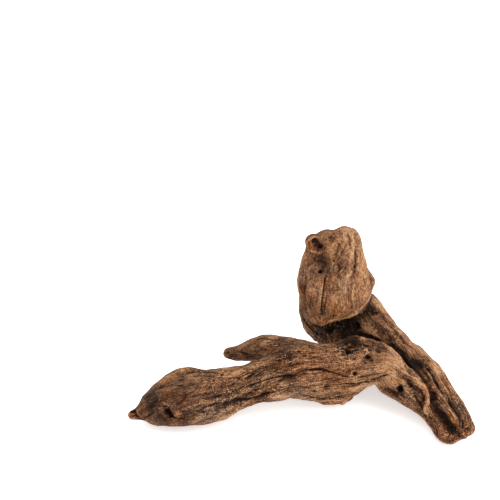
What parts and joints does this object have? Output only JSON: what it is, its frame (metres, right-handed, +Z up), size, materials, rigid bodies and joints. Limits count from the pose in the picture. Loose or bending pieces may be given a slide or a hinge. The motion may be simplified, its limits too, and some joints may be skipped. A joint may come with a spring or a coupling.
{
  "type": "driftwood",
  "caption": "Piece of driftwood: a grooved club-ended trunk forks into a short twig and a split limb, with a thick leaning burl raised behind the fork.",
  "frame": {"origin": "middle of the bounding box's base, on the surface the piece lies on", "axes": "+X along the trunk, from the club end to the fork; +Z up; +Y to the back, away from the picture's camera"},
  "size_m": [0.1586, 0.092, 0.0702],
  "materials": {
    "wood": "matt, water-worn, brown with dark grooves"
  },
  "bodies": {
    "root": {"driftwood": "wood"}
  },
  "joints": []
}
